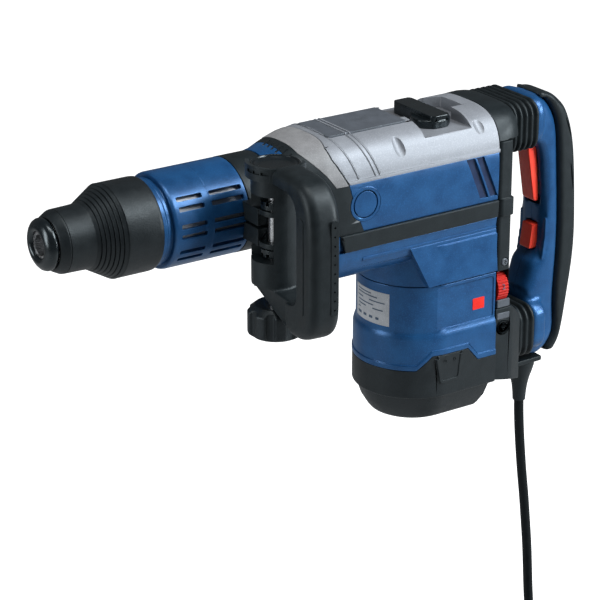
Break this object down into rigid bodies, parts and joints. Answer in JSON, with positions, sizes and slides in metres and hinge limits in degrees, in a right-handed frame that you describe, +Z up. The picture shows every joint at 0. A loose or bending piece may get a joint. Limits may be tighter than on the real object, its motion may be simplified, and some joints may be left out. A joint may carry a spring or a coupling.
{
  "type": "electric demolition hammer",
  "caption": "Corded electric demolition hammer with quick-change chisel chuck, swivelling bow side handle, damped rear D-handle and trailing power cord.",
  "frame": {"origin": "on the tool axis, at the middle of the collar that the auxiliary handle clamps to", "axes": "+X along the tool axis towards the chisel, +Y the tool's left side, +Z up"},
  "size_m": [0.538, 0.251, 0.5788],
  "materials": {
    "blue_shell": "moulded glass-filled nylon, fine spark texture, satin",
    "black_shell": "moulded black nylon, fine texture",
    "soft_rubber": "soft black elastomer",
    "red_control": "red moulded plastic, semi-gloss",
    "cast_aluminium": "die-cast, bead-blasted satin",
    "grey_panel": "dark grey satin",
    "bright_steel": "turned and ground",
    "copper_winding": "copper winding and bars"
  },
  "bodies": {
    "housing": {"barrel": "blue_shell", "hammer_tube": "bright_steel", "gear_housing": "blue_shell", "front_cover": "black_shell", "top_cover": "cast_aluminium", "top_inlay": "grey_panel", "side_panel_left": "blue_shell", "side_panel_right": "blue_shell", "side_strip_left": "black_shell", "side_strip_right": "black_shell", "motor_housing": "blue_shell", "base_cap": "black_shell", "rear_frame": "black_shell", "bellows_block": "black_shell", "lower_rear_housing": "black_shell", "handle_pivot": "bright_steel", "control_module": "black_shell", "upper_bellows": "soft_rubber", "lower_bellows": "soft_rubber", "frame_screw_left": "bright_steel", "frame_screw_right": "bright_steel", "inner_bearing": "bright_steel", "outer_bearing": "bright_steel", "stator": "grey_panel", "carbon_brush_left": "black_shell", "carbon_brush_right": "black_shell", "strain_relief": "soft_rubber", "power_cord": "soft_rubber", "cord_coil": "soft_rubber", "power_plug": "black_shell"},
    "chuck": {"tool_holder": "bright_steel", "dust_cap": "soft_rubber", "locking_roller_left": "bright_steel", "locking_roller_right": "bright_steel", "sleeve_spring": "bright_steel"},
    "locking_sleeve": {"locking_sleeve": "black_shell"},
    "impact_bolt": {"impact_bolt": "bright_steel"},
    "striker": {"striker": "bright_steel"},
    "piston": {"piston": "cast_aluminium", "wrist_pin": "bright_steel"},
    "connecting_rod": {"connecting_rod": "bright_steel"},
    "armature": {"armature_shaft": "bright_steel", "armature_core": "copper_winding", "commutator": "copper_winding", "cooling_fan": "black_shell"},
    "crank_gear": {"crank_gear": "bright_steel"},
    "selector_lever": {"selector_lever": "black_shell"},
    "speed_wheel": {"speed_wheel": "red_control"},
    "handle": {"handle_shell_left": "blue_shell", "handle_shell_right": "blue_shell", "handle_grip_strip": "soft_rubber", "switch_body": "black_shell"},
    "trigger": {"trigger": "red_control"},
    "lock_button": {"lock_button": "red_control"},
    "clamp": {"clamp_band": "black_shell", "clamp_bolt": "bright_steel", "clamp_cap": "black_shell"},
    "bow": {"bow_handle": "black_shell"},
    "clamp_knob": {"clamp_knob": "black_shell"}
  },
  "joints": [
    {"name": "vario_turn", "type": "hinge", "parent": "housing", "child": "chuck", "pos_m": [0.15, 0, 0], "axis": [1, 0, 0], "continuous": true},
    {"name": "sleeve_slide", "type": "slide", "parent": "chuck", "child": "locking_sleeve", "axis": [-1, 0, 0], "range_m": [0, 0.007], "stiffness_N_per_m": 1500},
    {"name": "impact_bolt_slide", "type": "slide", "parent": "housing", "child": "impact_bolt", "axis": [1, 0, 0], "range_m": [0, 0.008]},
    {"name": "striker_slide", "type": "slide", "parent": "housing", "child": "striker", "axis": [1, 0, 0], "range_m": [0, 0.014]},
    {"name": "piston_slide", "type": "slide", "parent": "housing", "child": "piston", "axis": [-1, 0, 0], "range_m": [0, 0.028]},
    {"name": "connecting_rod_swing", "type": "hinge", "parent": "piston", "child": "connecting_rod", "pos_m": [-0.048, 0, 0], "axis": [0, 0, 1], "range_deg": [-10, 10]},
    {"name": "motor_spin", "type": "hinge", "parent": "housing", "child": "armature", "pos_m": [-0.178, 0, -0.12], "axis": [0, 0, 1], "continuous": true},
    {"name": "crank_spin", "type": "hinge", "parent": "housing", "child": "crank_gear", "pos_m": [-0.14, 0, -0.02], "axis": [0, 0, 1], "continuous": true},
    {"name": "selector_turn", "type": "hinge", "parent": "housing", "child": "selector_lever", "pos_m": [-0.184, 0.012, 0.042], "axis": [0, 0, 1], "range_deg": [-38, 0]},
    {"name": "speed_wheel_turn", "type": "hinge", "parent": "housing", "child": "speed_wheel", "pos_m": [-0.239, 0.0355, -0.1145], "axis": [1, 0, 0], "range_deg": [-140, 140]},
    {"name": "handle_damping", "type": "hinge", "parent": "housing", "child": "handle", "pos_m": [-0.279, 0, -0.172], "axis": [0, 1, 0], "range_deg": [-0.3, 1.2], "stiffness_Nm_per_rad": 1400, "deforming": ["upper_bellows", "lower_bellows"]},
    {"name": "trigger_press", "type": "hinge", "parent": "handle", "child": "trigger", "pos_m": [-0.303, 0, -0.004], "axis": [0, 1, 0], "range_deg": [0, 7], "stiffness_Nm_per_rad": 3},
    {"name": "lock_button_press", "type": "slide", "parent": "handle", "child": "lock_button", "axis": [-1, 0, 0], "range_m": [0, 0.003], "stiffness_N_per_m": 800},
    {"name": "clamp_swivel", "type": "hinge", "parent": "housing", "child": "clamp", "pos_m": [0, 0, 0], "axis": [1, 0, 0], "continuous": true},
    {"name": "bow_swivel", "type": "hinge", "parent": "clamp", "child": "bow", "pos_m": [0.01, 0.068, 0], "axis": [0, 0, 1], "range_deg": [-15, 15]},
    {"name": "knob_turn", "type": "hinge", "parent": "clamp", "child": "clamp_knob", "pos_m": [0.01, 0.068, -0.078], "axis": [0, 0, 1], "continuous": true}
  ],
  "couplings": [
    {"joint": "crank_spin", "follows": "motor_spin", "ratio": -0.19512}
  ]
}
